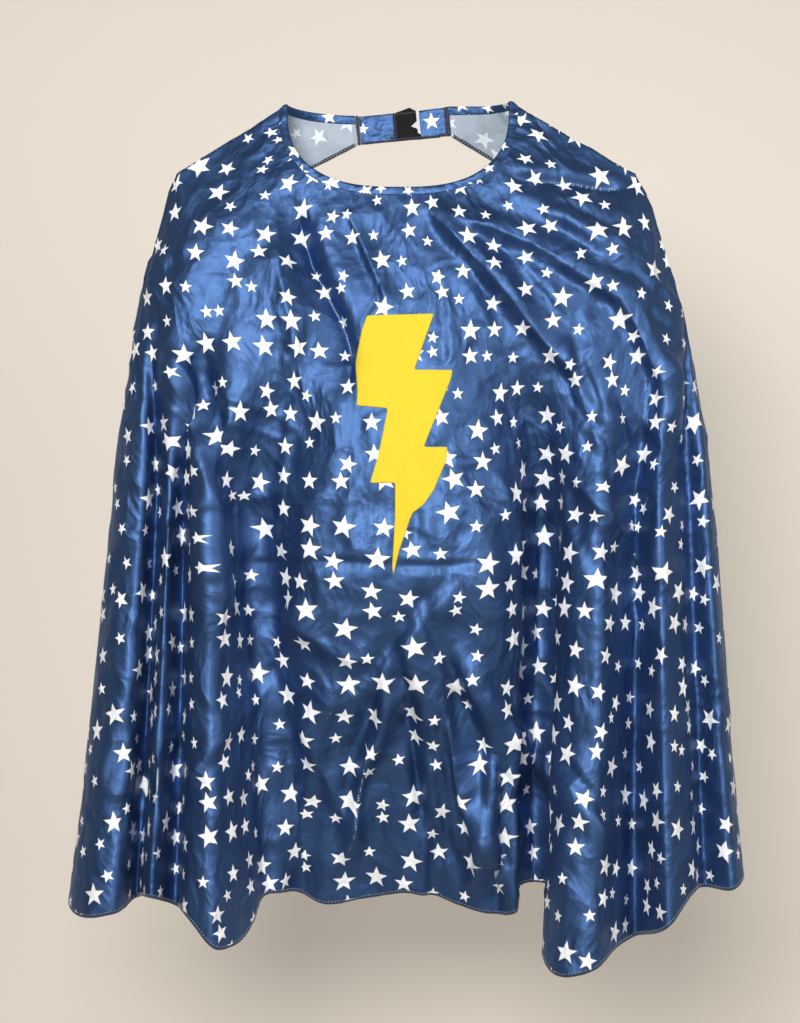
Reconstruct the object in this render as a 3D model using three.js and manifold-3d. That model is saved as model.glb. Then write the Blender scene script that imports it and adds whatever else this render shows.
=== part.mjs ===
// Child's superhero cape, hanging closed by its neck strap.
// Millimetres, +Z up. The printed back panel faces -Y and the strap is at +Y.
// The origin is the hanging point: midway between the shoulders, level with the neck's sides.
import * as THREE from "three";
import Module from "manifold-3d";

const wasm = await Module();
wasm.setup();

// Overall sizes of the hanging cape
const CAPE_DROP = 735; // hanging point down to the hem
const HEM_HALF_WIDTH = 303;
const SHOULDER_HALF_WIDTH = 208;
const SHOULDER_DROP = 66; // hanging point down to the shoulder tips
const NECK_HALF_WIDTH = 104;
const NECK_SCOOP = 80; // hanging point down to the bottom of the neckline
const NECK_HALF_DEPTH = 30; // strap to the neck's middle, front to back
const SHOULDER_HALF_DEPTH = 46;
const HEM_HALF_DEPTH = 66;
const HANG_SHIFT = 7; // the skirt hangs this far to one side of the neck
const FLARE = 0.575; // exponent of the side outline from shoulder to hem
const SCOOP_ROUNDNESS = 2.7; // exponent of the neckline's U

// Front opening: its two free edges run from the strap seams out to the sides
const SHOULDER_EDGE_HALF_GAP = 130;
const SHOULDER_EDGE_DROP = 80;
const HEM_EDGE_HALF_GAP = 200;
const REAR_HEM_RISE = 35;

// Folds of the skirt
const FOLD_COUNT = 11;
const FOLD_DEPTH = 8;
const CENTRE_RECESS = 20; // the middle of the panel hangs behind the two side bundles
const CENTRE_RECESS_REACH = 0.3; // share of the panel's half girth
const LEFT_LOBE = { at: -0.34, drop: 33, reach: 0.07 };
const RIGHT_LOBE = { at: 0.36, drop: 55, reach: 0.08 };

// Cloth, trims and clearances
const SATIN = 1.6;
const GAP = 0.3; // between neighbouring pieces
const TRIM_GAP = 0.6; // between two trims that follow one another along the cloth
const BINDING_WALL = 0.8;
const BINDING_DEPTH = 8;
const STITCH = 0.6;
const OVERLOCK_WALL = 0.8;
const OVERLOCK_DEPTH = 3;
const BOND_FILM = 0.3;
const FELT = 1.2;

// Strap
const STRAP_HEIGHT = 27;
const STRAP_TILT = THREE.MathUtils.degToRad(5.3); // the strap climbs towards +X
const STRAP_CENTRE_X = 2.5;
const STRAP_CENTRE_DROP = 15;
const STRAP_HALF_GAP = 43.5; // strap centre to the end of each seam
const TAB = 1.0;
const PATCH = 1.2;
const TAB_OVERLOCK_HEIGHT = 1.4;
const SEAM_WIDTH = 3;
const SEAM_THICKNESS = 3.2;
const LONG_TAB = 74;
const SHORT_TAB = 24;
const LOOP_PATCH_LENGTH = 40;
const HOOK_PATCH_LENGTH = 18;
const PATCH_MARGIN = 2.4; // from the patch to the tab's top, bottom and end

// Bolt: width and height of the felt piece, and the place of its top edge
const BOLT_WIDTH = 86;
const BOLT_HEIGHT = 233;
const BOLT_TOP_DROP = 197;
const BOLT_CENTRE_X = 4;

// Fineness of the panel's mesh
const COLUMNS = 60;
const YOKE_ROWS = 5;
const SKIRT_ROWS = 11;

const RIDGE = Math.hypot(SHOULDER_HALF_WIDTH - NECK_HALF_WIDTH, SHOULDER_DROP);
const SEAM_SHARE = STRAP_HEIGHT / RIDGE; // yoke share that the strap seam takes
const TAB_STEP = TAB + 2 * PATCH + 3 * GAP; // from one tab's middle plane to the other's
const LONG_TAB_Y = NECK_HALF_DEPTH + TAB_STEP / 2;
const SHORT_TAB_Y = NECK_HALF_DEPTH - TAB_STEP / 2;

const { lerp, smoothstep } = THREE.MathUtils;

// The cloth's ring at one level. yoke runs 0..1 from neck to shoulder, skirt 0..1 on to the hem.
function ringAt(yoke, skirt) {
  const edge = Math.max(0, (yoke - SEAM_SHARE) / (1 - SEAM_SHARE));
  const seam = Math.min(1, yoke / SEAM_SHARE);
  const flare = skirt ** FLARE;
  const drop = lerp(SHOULDER_DROP, CAPE_DROP, skirt);
  const yokeFront = lerp(NECK_SCOOP, NECK_SCOOP + SHOULDER_DROP + 14, yoke);
  return {
    skirt,
    strapHeight: STRAP_HEIGHT * (0.5 - seam), // above the strap's middle line
    neckness: 1 - smoothstep(yoke, SEAM_SHARE, 1),
    shift: HANG_SHIFT * smoothstep(yoke, 0, 1),
    width: skirt > 0
      ? lerp(SHOULDER_HALF_WIDTH, HEM_HALF_WIDTH, flare)
      : lerp(NECK_HALF_WIDTH, SHOULDER_HALF_WIDTH, yoke),
    depth: skirt > 0
      ? lerp(SHOULDER_HALF_DEPTH, HEM_HALF_DEPTH, skirt)
      : lerp(NECK_HALF_DEPTH, SHOULDER_HALF_DEPTH, yoke),
    sideDrop: skirt > 0 ? drop : lerp(0, SHOULDER_DROP, yoke),
    frontDrop: skirt > 0
      ? drop + (1 - skirt) * (NECK_SCOOP + 14)
      : yokeFront,
    edgeGap: skirt > 0
      ? lerp(SHOULDER_EDGE_HALF_GAP, HEM_EDGE_HALF_GAP, Math.sqrt(skirt))
      : lerp(STRAP_HALF_GAP * Math.cos(STRAP_TILT), SHOULDER_EDGE_HALF_GAP, edge),
    edgeDrop: skirt > 0
      ? lerp(SHOULDER_EDGE_DROP, CAPE_DROP - REAR_HEM_RISE, skirt)
      : lerp(
        STRAP_CENTRE_DROP + STRAP_HEIGHT * (seam - 0.5) * Math.cos(STRAP_TILT),
        SHOULDER_EDGE_DROP,
        edge,
      ),
  };
}

function lobe(u, { at, drop, reach }) {
  return drop * Math.exp(-(((u - at) / reach) ** 2));
}

// How far the cloth stands out of its plain ring, at share u of the girth.
function foldAt(u, skirt) {
  const growth = smoothstep(skirt, 0, 1);
  const wave = Math.cos(Math.PI * FOLD_COUNT * u);
  const centre = 1 - smoothstep(Math.abs(u), CENTRE_RECESS_REACH - 0.08, CENTRE_RECESS_REACH + 0.02);
  return growth * (FOLD_DEPTH * wave - CENTRE_RECESS * centre);
}

// A point of the cloth's middle surface. u runs -1..1 round the cape, 0 at the middle of the panel.
function clothPoint(ring, u) {
  const side = u < 0 ? -1 : 1;
  const rearDepth = ring.depth - side * ring.neckness * TAB_STEP / 2;
  const straight = ring.width - ring.depth;
  const bend = Math.PI * ring.depth;
  const rear = straight - ring.edgeGap;
  const along = Math.abs(u) * (straight + bend + rear);
  const turn = THREE.MathUtils.clamp((along - straight) / ring.depth, 0, Math.PI);
  const rearRun = Math.max(0, along - straight - bend);
  const out = foldAt(u, ring.skirt);
  const reach = Math.min(along, straight) + (ring.depth + out) * Math.sin(turn) - rearRun;
  const y = -Math.cos(turn) * ((turn > Math.PI / 2 ? rearDepth : ring.depth) + out);
  const rearShare = smoothstep(along, straight + bend / 2, straight + bend + rear);
  const plain = Math.min(1, (Math.min(along, straight) + ring.depth * Math.sin(turn)) / ring.width);
  const scoop = turn > Math.PI / 2 ? 0 : (1 - plain ** SCOOP_ROUNDNESS) ** (1 / SCOOP_ROUNDNESS);
  const drop = lerp(ring.sideDrop, ring.frontDrop, scoop)
    + rearShare * (ring.edgeDrop - ring.sideDrop)
    + ring.skirt ** 2 * (lobe(u, LEFT_LOBE) + lobe(u, RIGHT_LOBE));
  const strapPull = rearShare * ring.neckness; // how far this point follows the strap's tilt
  const strapLean = STRAP_CENTRE_X - ring.strapHeight * Math.sin(STRAP_TILT);
  const strapLift = side * STRAP_HALF_GAP * Math.sin(STRAP_TILT);
  return new THREE.Vector3(
    side * reach + lerp(ring.shift, strapLean, strapPull),
    y,
    -drop + strapPull * strapLift,
  );
}

// Levels of the panel's mesh, with extra ones where trims end.
function levels() {
  const skirtSpan = CAPE_DROP - SHOULDER_DROP;
  const trimShare = TRIM_GAP / RIDGE;
  const ditch = BINDING_DEPTH + GAP;
  const bindingRows = [0, BINDING_DEPTH, ditch, ditch + 2 * STITCH].map((depth) => depth / RIDGE);
  const yoke = [...bindingRows, SEAM_SHARE, SEAM_SHARE + trimShare];
  for (let k = 1; k <= YOKE_ROWS; k += 1) {
    yoke.push(lerp(SEAM_SHARE + trimShare, 1, k / YOKE_ROWS));
  }
  const skirt = [];
  const hemStart = 1 - OVERLOCK_DEPTH / skirtSpan;
  const hemTrim = hemStart - TRIM_GAP / skirtSpan;
  for (let k = 1; k <= SKIRT_ROWS; k += 1) {
    skirt.push(lerp(0, hemTrim, (k / SKIRT_ROWS) ** 1.3));
  }
  skirt.push(hemStart, 1);
  return yoke.map((share) => ringAt(share, 0)).concat(skirt.map((share) => ringAt(1, share)));
}

const SEAM_ROW = 4; // index of the level where the strap seam ends
const RINGS = levels();
const HEM_ROW = RINGS.length - 1;

// Shares of the girth of the panel's columns, with narrow ones under the edge trims.
function columnShares(ring) {
  const straight = ring.width - ring.depth;
  const girth = 2 * straight + Math.PI * ring.depth - ring.edgeGap;
  const trim = OVERLOCK_DEPTH / girth;
  const shares = [-1, -1 + trim];
  for (let k = 1; k < COLUMNS; k += 1) {
    shares.push(lerp(-1 + trim, 1 - trim, k / COLUMNS));
  }
  shares.push(1 - trim, 1);
  return shares;
}

// The panel's middle surface: one row of points for each level.
const CLOTH = RINGS.map((ring) => columnShares(ring).map((u) => clothPoint(ring, u)));
const LAST_COLUMN = CLOTH[0].length - 1;

function clothNormal(row, column) {
  const up = CLOTH[Math.max(0, row - 1)][column];
  const down = CLOTH[Math.min(HEM_ROW, row + 1)][column];
  const left = CLOTH[row][Math.max(0, column - 1)];
  const right = CLOTH[row][Math.min(LAST_COLUMN, column + 1)];
  const across = right.clone().sub(left);
  const along = down.clone().sub(up);
  return along.cross(across).normalize();
}

const NORMALS = CLOTH.map((line, row) => line.map((_, column) => clothNormal(row, column)));

// A line of stations, each a point on the cloth with its outward normal.
function rowLine(row, from = 0, to = LAST_COLUMN) {
  const line = [];
  for (let column = from; column <= to; column += 1) {
    line.push({ point: CLOTH[row][column], normal: NORMALS[row][column] });
  }
  return line;
}

function columnLine(column, from, to) {
  const line = [];
  for (let row = from; row <= to; row += 1) {
    line.push({ point: CLOTH[row][column], normal: NORMALS[row][column] });
  }
  return line;
}

function off({ point, normal }, distance) {
  return point.clone().addScaledVector(normal, distance);
}

// Closed solid from a tube of equal loops, with its two ends filled by the given triangles.
// Each quad is split from its lower rank to its higher one, so layers over the same cloth match.
function sweep(loops, ranks, capTriangles) {
  const count = loops[0].length;
  const positions = loops.flat().flatMap((p) => [p.x, p.y, p.z]);
  const triangles = [];
  for (let k = 0; k + 1 < loops.length; k += 1) {
    for (let c = 0; c < count; c += 1) {
      const next = (c + 1) % count;
      const a = k * count + c;
      const b = k * count + next;
      if (ranks[next] >= ranks[c]) {
        triangles.push(a, b, b + count, a, b + count, a + count);
      } else {
        triangles.push(a, b, a + count, b, b + count, a + count);
      }
    }
  }
  const last = (loops.length - 1) * count;
  capTriangles.forEach(([a, b, c]) => {
    triangles.push(a, c, b, last + a, last + b, last + c);
  });
  return outward(positions, triangles);
}

// Indexed geometry whose triangles face out of the solid.
function outward(positions, triangles) {
  const corner = (k) => new THREE.Vector3().fromArray(positions, 3 * k);
  let volume = 0;
  for (let k = 0; k < triangles.length; k += 3) {
    const [a, b, c] = [corner(triangles[k]), corner(triangles[k + 1]), corner(triangles[k + 2])];
    volume += a.dot(b.cross(c));
  }
  const index = volume < 0 ? triangles.slice().reverse() : triangles;
  const geometry = new THREE.BufferGeometry();
  geometry.setAttribute("position", new THREE.Float32BufferAttribute(positions, 3));
  geometry.setIndex(index);
  return geometry;
}

// A slab that follows the cloth over a run of lines, from one distance off it to another.
function slab(lines, low, high) {
  const count = lines.length;
  const loops = lines[0].map((_, k) => [
    ...lines.map((line) => off(line[k], high)),
    ...lines.slice().reverse().map((line) => off(line[k], low)),
  ]);
  const caps = [];
  for (let c = 0; c + 1 < count; c += 1) {
    const below = 2 * count - 1 - c;
    caps.push([c, c + 1, below - 1], [c, below - 1, below]);
  }
  const ranks = [...lines.keys(), ...[...lines.keys()].reverse()];
  return sweep(loops, ranks, caps);
}

// A channel wrapped over an edge of the cloth, with lips that reach the inner line.
// edgeIsFirst says that the edge is the cloth's first row or column.
function wrap(edgeLine, innerLine, wall, edgeIsFirst) {
  const near = SATIN / 2 + GAP;
  const far = near + wall;
  const loops = edgeLine.map((edge, k) => {
    const inner = innerLine[k];
    const outDir = edge.point.clone().sub(inner.point);
    outDir.addScaledVector(edge.normal, -outDir.dot(edge.normal)).normalize();
    const lip = { point: edge.point.clone().addScaledVector(outDir, GAP), normal: edge.normal };
    const back = { point: edge.point.clone().addScaledVector(outDir, GAP + wall), normal: edge.normal };
    return [
      off(inner, far), off(back, far), off(back, -far), off(inner, -far),
      off(inner, -near), off(lip, -near), off(lip, near), off(inner, near),
    ];
  });
  const edge = edgeIsFirst ? 0 : 1;
  const ranks = [1 - edge, edge, edge, 1 - edge, 1 - edge, edge, edge, 1 - edge];
  return sweep(loops, ranks, [[0, 1, 6], [0, 6, 7], [1, 2, 5], [1, 5, 6], [2, 3, 4], [2, 4, 5]]);
}

function toManifold(geometry) {
  const mesh = new wasm.Mesh({
    numProp: 3,
    vertProperties: new Float32Array(geometry.getAttribute("position").array),
    triVerts: new Uint32Array(geometry.getIndex().array),
  });
  mesh.merge();
  return new wasm.Manifold(mesh);
}

function fromManifold(solid) {
  const mesh = solid.getMesh();
  const geometry = new THREE.BufferGeometry();
  geometry.setAttribute("position", new THREE.BufferAttribute(mesh.vertProperties, 3));
  geometry.setIndex(new THREE.BufferAttribute(mesh.triVerts, 1));
  return geometry;
}

// Corners of the bolt, as shares of its width and height from its middle top.
const BOLT_CORNERS = [
  [-0.39, 0], [0.31, 0], [0.1, -0.22], [0.5, -0.22], [0.2, -0.515], [0.44, -0.515],
  [0.3, -0.68], [0.04, -0.8], [-0.1, -1], [-0.105, -0.65], [-0.36, -0.65], [-0.18, -0.365],
  [-0.5, -0.355], [-0.5, -0.19],
];

function boltPrism() {
  const outline = BOLT_CORNERS.map(([x, z]) => new THREE.Vector2(x * BOLT_WIDTH, z * BOLT_HEIGHT));
  const geometry = new THREE.ExtrudeGeometry(new THREE.Shape(outline), {
    depth: 2 * HEM_HALF_DEPTH,
    bevelEnabled: false,
  });
  geometry.deleteAttribute("normal");
  geometry.deleteAttribute("uv");
  geometry.rotateX(Math.PI / 2);
  geometry.translate(BOLT_CENTRE_X, 0, -BOLT_TOP_DROP);
  const count = geometry.getAttribute("position").count;
  geometry.setIndex([...Array(count).keys()]);
  return toManifold(geometry);
}

// The columns and rows of the panel that the bolt lies on.
function boltLines() {
  const middle = Math.round(LAST_COLUMN / 2);
  const half = Math.ceil(COLUMNS * 0.14);
  const inDrop = (row) => {
    const drop = -CLOTH[row][middle].z;
    return drop > BOLT_TOP_DROP - 60 && drop < BOLT_TOP_DROP + BOLT_HEIGHT + 80;
  };
  const rows = RINGS.map((_, row) => row).filter(inDrop);
  return rows.map((row) => rowLine(row, middle - half, middle + half));
}

function boltLayer(low, thickness) {
  const layer = toManifold(slab(boltLines(), low, low + thickness));
  return fromManifold(layer.intersect(boltPrism()));
}

// A flat rectangle of cloth in the strap's frame, with clipped corners at its free end.
function tabGeometry(length, thickness, direction) {
  const half = STRAP_HEIGHT / 2;
  const clip = 2;
  const shape = new THREE.Shape([
    new THREE.Vector2(0, -half),
    new THREE.Vector2(direction * (length - clip), -half),
    new THREE.Vector2(direction * length, -half + clip),
    new THREE.Vector2(direction * length, half - clip),
    new THREE.Vector2(direction * (length - clip), half),
    new THREE.Vector2(0, half),
  ]);
  return extrudeAcross(shape, thickness);
}

// Extrudes a shape drawn in the strap's X-Z plane, centred on that plane.
function extrudeAcross(shape, thickness) {
  const geometry = new THREE.ExtrudeGeometry(shape, { depth: thickness, bevelEnabled: false });
  geometry.rotateX(Math.PI / 2);
  geometry.translate(0, thickness / 2, 0);
  return geometry;
}

const PATCH_HEIGHT = STRAP_HEIGHT - 2 * PATCH_MARGIN;
const PATCH_STITCH_WIDTH = 2 * STITCH;

function patchGeometry(length) {
  return new THREE.BoxGeometry(length, PATCH, PATCH_HEIGHT);
}

function rectangle(halfX, halfZ, Kind) {
  return new Kind([
    new THREE.Vector2(-halfX, -halfZ),
    new THREE.Vector2(halfX, -halfZ),
    new THREE.Vector2(halfX, halfZ),
    new THREE.Vector2(-halfX, halfZ),
  ]);
}

// Stitching that runs round a patch's outline.
function patchStitching(length) {
  const inner = GAP;
  const outer = GAP + PATCH_STITCH_WIDTH;
  const ring = rectangle(length / 2 + outer, PATCH_HEIGHT / 2 + outer, THREE.Shape);
  ring.holes.push(rectangle(length / 2 + inner, PATCH_HEIGHT / 2 + inner, THREE.Path));
  return extrudeAcross(ring, STITCH);
}

// Overlock along a tab's lower edge, centred on the tab's middle plane.
function tabOverlock(length) {
  const geometry = new THREE.BoxGeometry(length, TAB + 2 * STITCH, TAB_OVERLOCK_HEIGHT);
  geometry.translate(0, 0, -STRAP_HEIGHT / 2 - GAP - TAB_OVERLOCK_HEIGHT / 2);
  return geometry;
}

const COLOURS = {
  satin: { color: 0x1f3a78, roughness: 0.38, metalness: 0 },
  binding: { color: 0x1b3266, roughness: 0.42, metalness: 0 },
  thread: { color: 0x10182c, roughness: 0.8, metalness: 0 },
  felt: { color: 0xf2d21c, roughness: 0.85, metalness: 0 },
  film: { color: 0xe9e4d0, roughness: 0.6, metalness: 0 },
  tape: { color: 0x08090d, roughness: 0.95, metalness: 0 },
};

function piece(name, geometry, look) {
  const mesh = new THREE.Mesh(geometry, new THREE.MeshStandardMaterial(COLOURS[look]));
  mesh.name = name;
  return mesh;
}

function addPanel(cape) {
  cape.add(piece("cape_panel", slab(CLOTH.map((_, row) => rowLine(row)), -SATIN / 2, SATIN / 2), "satin"));
}

function addNeckBinding(cape) {
  const edge = rowLine(0);
  const inner = rowLine(1);
  const stitchLow = SATIN / 2 + GAP;
  cape.add(piece("neck_binding", wrap(edge, inner, BINDING_WALL, true), "binding"));
  cape.add(piece("neck_topstitch", slab([rowLine(2), rowLine(3)], stitchLow, stitchLow + STITCH), "thread"));
}

function addEdgeThreads(cape) {
  const hem = wrap(rowLine(HEM_ROW), rowLine(HEM_ROW - 1), OVERLOCK_WALL, false);
  const from = SEAM_ROW + 1;
  const to = HEM_ROW - 2;
  const left = wrap(columnLine(0, from, to), columnLine(1, from, to), OVERLOCK_WALL, true);
  const right = wrap(
    columnLine(LAST_COLUMN, from, to),
    columnLine(LAST_COLUMN - 1, from, to),
    OVERLOCK_WALL,
    false,
  );
  cape.add(piece("hem_overlock", hem, "thread"));
  cape.add(piece("left_edge_overlock", left, "thread"));
  cape.add(piece("right_edge_overlock", right, "thread"));
}

function addBolt(cape) {
  const filmLow = SATIN / 2 + GAP;
  cape.add(piece("bolt_bond_film", boltLayer(filmLow, BOND_FILM), "film"));
  cape.add(piece("lightning_bolt", boltLayer(filmLow + BOND_FILM + GAP, FELT), "felt"));
}

// One side of the strap. direction is +1 for the long tab, which starts at the -X seam.
function addStrapSide(strap, names, direction, tabLength, patchLength, tabY, patchSide) {
  const seamX = -direction * (STRAP_HALF_GAP - GAP - SEAM_WIDTH / 2);
  const startX = -direction * (STRAP_HALF_GAP - 2 * GAP - SEAM_WIDTH);
  const seam = piece(names.seam, new THREE.BoxGeometry(SEAM_WIDTH, SEAM_THICKNESS, STRAP_HEIGHT), "thread");
  seam.position.set(seamX, tabY, 0);
  const tab = piece(names.tab, tabGeometry(tabLength, TAB, direction), "satin");
  tab.position.set(startX, tabY, 0);
  const overlockLength = tabLength - 2 * PATCH_MARGIN;
  const overlock = piece(names.overlock, tabOverlock(overlockLength), "thread");
  overlock.position.set(startX + direction * tabLength / 2, tabY, 0);
  const patchX = startX + direction * (tabLength - PATCH_MARGIN - patchLength / 2);
  const patchY = tabY + patchSide * (TAB / 2 + GAP + PATCH / 2);
  const patch = piece(names.patch, patchGeometry(patchLength), "tape");
  patch.position.set(patchX, patchY, 0);
  const stitching = piece(names.stitching, patchStitching(patchLength), "thread");
  stitching.position.set(patchX, patchY, 0);
  strap.add(seam, tab, overlock, patch, stitching);
}

function addStrap(cape) {
  const strap = new THREE.Group();
  strap.position.set(STRAP_CENTRE_X, 0, -STRAP_CENTRE_DROP);
  strap.rotation.y = -STRAP_TILT;
  const left = {
    seam: "left_tab_seam", tab: "left_tab", overlock: "left_tab_overlock",
    patch: "loop_patch", stitching: "loop_patch_stitching",
  };
  const right = {
    seam: "right_tab_seam", tab: "right_tab", overlock: "right_tab_overlock",
    patch: "hook_patch", stitching: "hook_patch_stitching",
  };
  addStrapSide(strap, left, 1, LONG_TAB, LOOP_PATCH_LENGTH, LONG_TAB_Y, -1);
  addStrapSide(strap, right, -1, SHORT_TAB, HOOK_PATCH_LENGTH, SHORT_TAB_Y, 1);
  cape.add(strap);
}

const cape = new THREE.Group();
addPanel(cape);
addNeckBinding(cape);
addEdgeThreads(cape);
addBolt(cape);
addStrap(cape);

export default cape;
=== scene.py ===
"""Child's satin superhero cape with a felt bolt, hanging closed by its neck strap."""
import math

import bpy
import numpy as np
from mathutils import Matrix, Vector, geometry
from mathutils.bvhtree import BVHTree


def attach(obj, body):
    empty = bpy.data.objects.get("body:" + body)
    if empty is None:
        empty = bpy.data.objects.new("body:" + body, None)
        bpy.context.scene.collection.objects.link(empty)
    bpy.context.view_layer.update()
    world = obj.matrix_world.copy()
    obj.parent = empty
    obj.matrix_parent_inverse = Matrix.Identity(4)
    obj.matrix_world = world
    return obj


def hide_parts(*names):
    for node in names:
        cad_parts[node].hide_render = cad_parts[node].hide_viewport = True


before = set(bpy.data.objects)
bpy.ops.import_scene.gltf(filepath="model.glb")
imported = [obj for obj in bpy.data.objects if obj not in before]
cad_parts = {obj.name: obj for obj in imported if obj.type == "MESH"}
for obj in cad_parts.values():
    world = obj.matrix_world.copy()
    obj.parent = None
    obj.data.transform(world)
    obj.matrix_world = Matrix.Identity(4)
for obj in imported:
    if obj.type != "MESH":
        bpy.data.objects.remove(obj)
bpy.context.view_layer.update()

MM = 0.001
FAR = 1e9

# Fineness of the cloth
COLUMNS = 560
ROWS = 300
YOKE_ROWS = int(ROWS * 0.17)  # the rows above the shoulder tips
SATIN_THICKNESS = 0.45  # millimetres, as are all sizes below

# ---- sizes of the hanging cape
NECK_WIDTHS = (104, 101)  # left and right half widths of the neck
NECK_SIDES = (0, 3)  # heights of the neck's two sides
NECK_SCOOP = 80
NECK_DEPTH = 31
SCOOP_ROUNDNESS = 2.7
SHOULDER_DEPTH = 47
SEAM_GAP, SHOULDER_GAP, HEM_GAP = 43, 130, 195  # half of the open back, from the seams down
YOKE_FRONT = 160  # how far down the panel's middle is, level with the shoulder tips
SEAM_SHARE = 0.22  # share of the yoke that the strap's seams take
HEM_DROP = 735
HEM_DEPTH = 66
CHEST_BOW = 11  # how far the panel's middle stands forward at the chest

# How far forward the panel's middle hangs: height, place along Y
PANEL_PROFILE = [
    (-745, 44), (-600, -12), (-500, -56), (-430, -77), (-370, -80), (-290, -75), (-220, -66),
    (-160, -54), (-80, -31),
]

# Side outlines from the shoulder tips down: height, distance from the middle
LEFT_OUTLINE = [
    (-62, 202), (-78, 211), (-106, 221), (-189, 239), (-290, 256), (-409, 269),
    (-566, 285), (-727, 304),
]
RIGHT_OUTLINE = [
    (-62, 216), (-87, 228), (-124, 239), (-216, 266), (-317, 284), (-455, 296),
    (-621, 308), (-713, 317),
]
SHOULDER_TIPS = ((-202, -62), (217, -63))

# The strap's two seams: x of the middle, y, z of the middle
STRAP_TILT = math.radians(5.3)
STRAP_HEIGHT = 27
LEFT_SEAM = (-40.8, 32.1, -19.0)
RIGHT_SEAM = (45.8, 27.9, -11.0)
LEFT_SHOULDER_EDGE = (-132, 46, -78)
RIGHT_SHOULDER_EDGE = (130, 45, -72)

# The two tabs of the strap, in the strap's own frame: along it, through it, up it
STRAP_ORIGIN = (2.5, 0.0, -15.0)
LONG_TAB = (-39.9, 34.1, 32.15)  # its two ends, and its middle plane
SHORT_TAB = (15.9, 39.9, 27.85)
LOOP_PATCH = (-8.3, 31.7, 30.75)
HOOK_PATCH = (18.3, 36.3, 29.25)
TAB_THICKNESS = 1.0
PATCH_THICKNESS = 1.0

LONG_PRINT_SHIFT = (150, 330)  # where on the printed cloth each tab was cut
SHORT_PRINT_SHIFT = (90, 500)
BINDING_DEPTH = 7.6
BINDING_ROWS = 14  # rows of the cloth that are enough to reach below it
OVERLOCK_DEPTH = 2.3
EDGE_OVERLOCK_DEPTH = 3.6
THREAD_PITCH = 1.5  # from one overlock loop to the next

# The felt bolt's outline, from its top left corner round the right side
BOLT = [
    (-29.4, -198.7), (30.4, -196.9), (12.9, -247.5), (46.9, -247.5), (45.1, -256.7),
    (21.2, -316.5), (42.3, -316.5), (40.9, -329.4), (30.4, -354.7), (21.2, -368),
    (11, -375.4), (8.3, -381.8), (-0.9, -409.4), (-5.9, -430.6), (-7.1, -422.7),
    (-4.6, -380), (-4.6, -348.7), (-26.7, -348.7), (-20.2, -327.5), (-11, -282.4),
    (-38.6, -279.7), (-37.7, -265.9), (-39, -242), (-34, -211.6),
]
FELT_THICKNESS = 1.3
FILM_THICKNESS = 0.2

# Every fold line runs from the neck to the hem. The left free edge of the open back comes first,
# then the lines go round the left side, the bolt's panel and the right side to the other edge.
# Each has its plan position at the hem and at the waist, and the height of its hem.
WAIST = 0.528  # share of the skirt's drop
FOLD_LINES = np.array([
    (-195, 50, -172, 42, -700),
    (-226, 66, -205, 54, -694),
    (-262, 58, -236, 50, -690),
    (-291, 36, -260, 32, -700),
    (-304, 6, -270, 6, -727),
    (-297, -24, -265, -18, -738),
    (-279, -46, -251, -36, -740),
    (-260, -52, -239, -42, -736),
    (-242, -4, -226, -14, -728),
    (-223, -60, -211, -50, -720),
    (-205, -18, -198, -22, -733),
    (-188, -62, -183, -60, -740),
    (-168, -72, -170, -68, -762),
    (-149, -48, -156, -50, -764),
    (-134, -12, -144, -24, -750),
    (-124, 16, -132, -8, -729),
    (-104, 22, -112, -12, -729),
    (-72, 4, -78, -40, -742),
    (-31, 12, -32, -50, -737),
    (9, -6, 10, -54, -730),
    (49, -2, 48, -50, -739),
    (82, -20, 82, -48, -747),
    (104, -10, 106, -30, -745),
    (111, 28, 114, 0, -722),
    (123, 42, 126, 16, -720),
    (139, 26, 142, 6, -722),
    (131, -30, 146, -34, -777),
    (147, -70, 162, -60, -789),
    (170, -76, 178, -68, -783),
    (194, -44, 197, -44, -768),
    (214, -10, 214, -24, -763),
    (241, -66, 236, -60, -744),
    (264, -38, 255, -38, -720),
    (281, 0, 267, -14, -719),
    (302, -26, 283, -26, -718),
    (316, 5, 294, 5, -706),
    (303, 36, 284, 31, -692),
    (271, 60, 257, 49, -686),
    (235, 68, 222, 56, -690),
    (195, 50, 182, 44, -700),
], dtype=float)

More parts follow.
